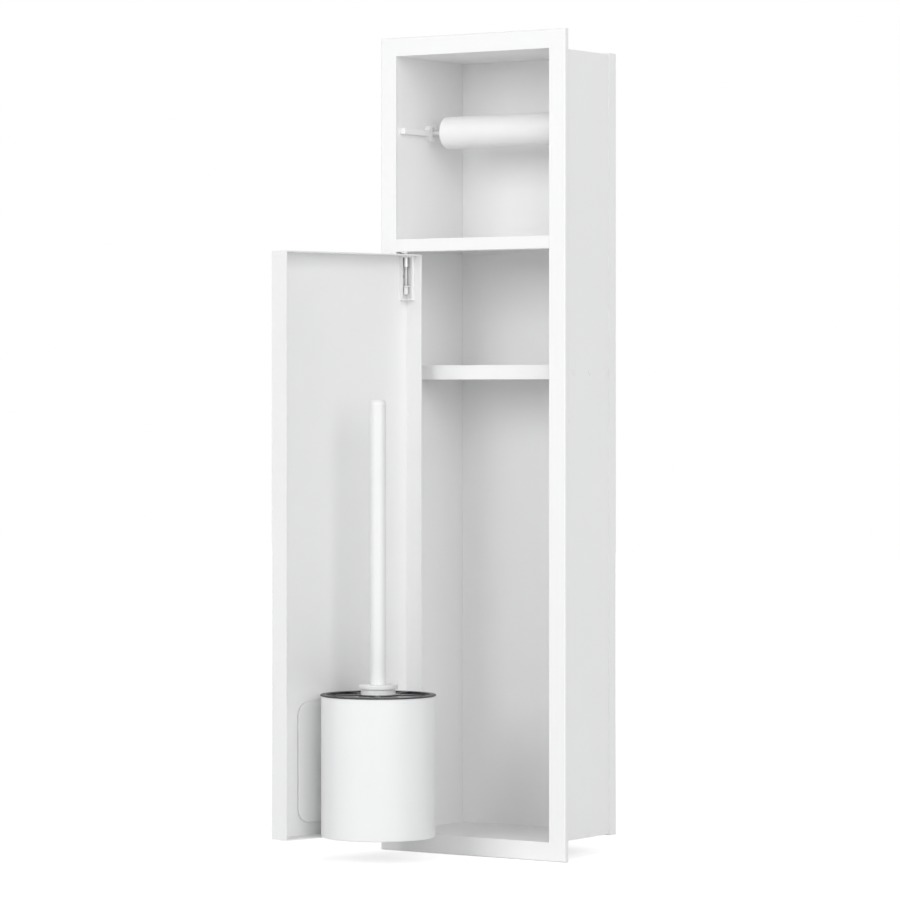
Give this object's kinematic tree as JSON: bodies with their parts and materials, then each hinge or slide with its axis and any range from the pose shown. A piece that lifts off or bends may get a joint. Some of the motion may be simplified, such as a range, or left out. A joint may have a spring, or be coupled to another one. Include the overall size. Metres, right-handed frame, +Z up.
{
  "type": "recessed toilet brush cabinet",
  "caption": "Tall recessed wall cabinet with an open paper roll bay, a shelf, and a hinged door that carries a toilet brush in its cup.",
  "frame": {"origin": "middle of the wall cut-out, in the plane of the finished wall that the frame rests on", "axes": "+Z up along the cabinet's height, +Y into the wall, +X to the right seen from the room"},
  "size_m": [0.2051, 0.2463, 0.7],
  "materials": {
    "white_coat": "fine satin powder coat",
    "cup_coat": "smooth satin coat",
    "white_plastic": "satin moulded plastic",
    "black_plastic": "satin moulded plastic",
    "white_bristle": "nylon bristle",
    "zinc_steel": "zinc plated steel",
    "magnet": "nickel plated magnet",
    "foam": "foam adhesive pad"
  },
  "bodies": {
    "cabinet": {"front_frame": "white_coat", "left_wall": "white_coat", "right_wall": "white_coat", "top_wall": "white_coat", "bottom_wall": "white_coat", "back_tray": "white_coat", "roll_shelf": "white_coat", "middle_shelf": "white_coat", "shelf_rivets": "white_coat", "upper_hinge_bush": "white_plastic", "lower_hinge_bush": "white_plastic", "left_roll_rail": "white_coat", "right_roll_rail": "white_coat", "latch_housing": "white_plastic", "latch_screws": "zinc_steel", "latch_spring": "zinc_steel"},
    "door": {"door_shell": "white_coat", "upper_hinge_bracket": "white_coat", "lower_hinge_bracket": "white_coat", "lower_hinge_pin": "zinc_steel", "hinge_rivets": "zinc_steel", "pin_spring": "zinc_steel", "mounting_pad": "foam", "cup_plate": "white_coat"},
    "hinge_pin_set": {"hinge_pin": "zinc_steel", "pin_knob": "white_plastic"},
    "latch_plunger_set": {"latch_plunger": "white_plastic", "latch_magnet": "magnet"},
    "cup": {"brush_cup": "cup_coat", "cup_liner": "white_plastic", "cup_rim": "black_plastic", "cup_hanger": "cup_coat"},
    "brush": {"brush_rod": "cup_coat", "rod_top_plug": "white_plastic", "rod_lower_plug": "zinc_steel", "brush_lid": "black_plastic", "rod_collar": "white_plastic", "lid_retainer": "white_plastic", "brush_core": "white_plastic", "brush_bristles": "white_bristle"},
    "axle": {"roll_axle": "zinc_steel", "axle_clips": "zinc_steel"},
    "roller": {"roller_tube": "white_plastic", "left_roller_cap": "white_plastic", "right_roller_cap": "white_plastic"}
  },
  "joints": [
    {"name": "door_hinge", "type": "hinge", "parent": "cabinet", "child": "door", "pos_m": [-0.071, 0, 0], "axis": [0, 0, 1], "range_deg": [-2, 104]},
    {"name": "hinge_pin_retract", "type": "slide", "parent": "door", "child": "hinge_pin_set", "axis": [0, 0, -1], "range_m": [0, 0.0036], "stiffness_N_per_m": 300, "springref_m": -0.005, "deforming": ["pin_spring"]},
    {"name": "cup_lift", "type": "slide", "parent": "door", "child": "cup", "axis": [0, 0, 1], "range_m": [0, 0.006]},
    {"name": "brush_lift", "type": "slide", "parent": "cup", "child": "brush", "axis": [0, 0, 1], "range_m": [0, 0.01]},
    {"name": "latch_push", "type": "slide", "parent": "cabinet", "child": "latch_plunger_set", "axis": [0, 1, 0], "range_m": [0, 0.0035], "stiffness_N_per_m": 400, "springref_m": -0.004},
    {"name": "axle_lift", "type": "slide", "parent": "cabinet", "child": "axle", "axis": [0, 0, 1], "range_m": [0, 0.01]},
    {"name": "roller_spin", "type": "hinge", "parent": "axle", "child": "roller", "pos_m": [0, 0.046, 0.27], "axis": [1, 0, 0], "continuous": true}
  ]
}
